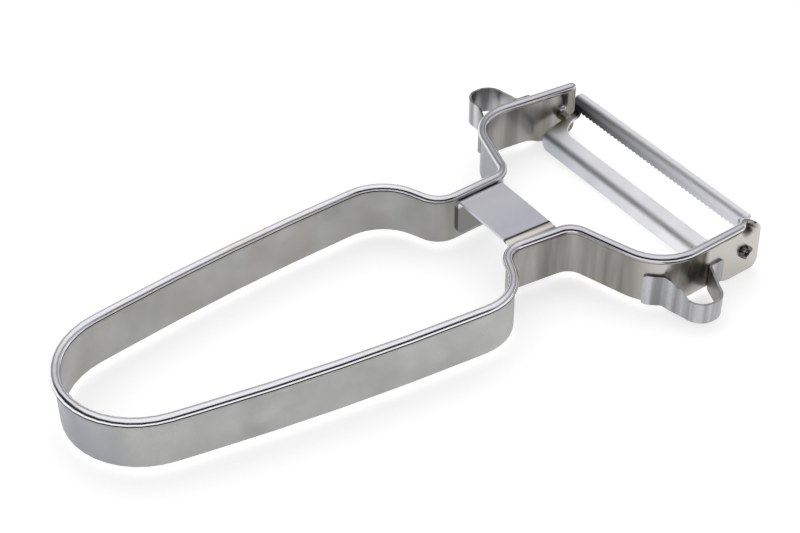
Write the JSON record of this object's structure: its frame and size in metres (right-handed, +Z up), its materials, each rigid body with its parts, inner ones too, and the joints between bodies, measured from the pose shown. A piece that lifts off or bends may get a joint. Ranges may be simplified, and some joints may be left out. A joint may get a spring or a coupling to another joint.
{
  "type": "vegetable peeler",
  "caption": "All-metal vegetable peeler: a bent steel strip frame with a swivelling slotted blade, a neck bridge plate and eye removers on its shoulders",
  "frame": {"origin": "centre of the footprint, on the plane the peeler rests on when it lies bead side up", "axes": "+X from the handle's closed end towards the blade, +Y across the peeler to its left seen from the handle with the bead up, +Z up from the rest plane to the beaded edge"},
  "size_m": [0.1472, 0.084, 0.0136],
  "materials": {
    "frame": "rolled strip steel, finely brushed along the strip with a polished beaded edge",
    "bridge": "pressed sheet steel, smooth satin",
    "blade": "blade steel, satin, ground teeth along the slot",
    "clip": "thin sheet steel, bright, spot welded to the frame"
  },
  "bodies": {
    "frame": {"frame_band": "frame", "neck_bridge": "bridge", "eye_remover_left": "clip", "eye_remover_right": "clip"},
    "blade": {"swivel_blade": "blade"}
  },
  "joints": [
    {"name": "blade_swivel", "type": "hinge", "parent": "frame", "child": "blade", "pos_m": [0.06899, 0, 0.0059], "axis": [0, 1, 0], "range_deg": [0, 78]}
  ]
}
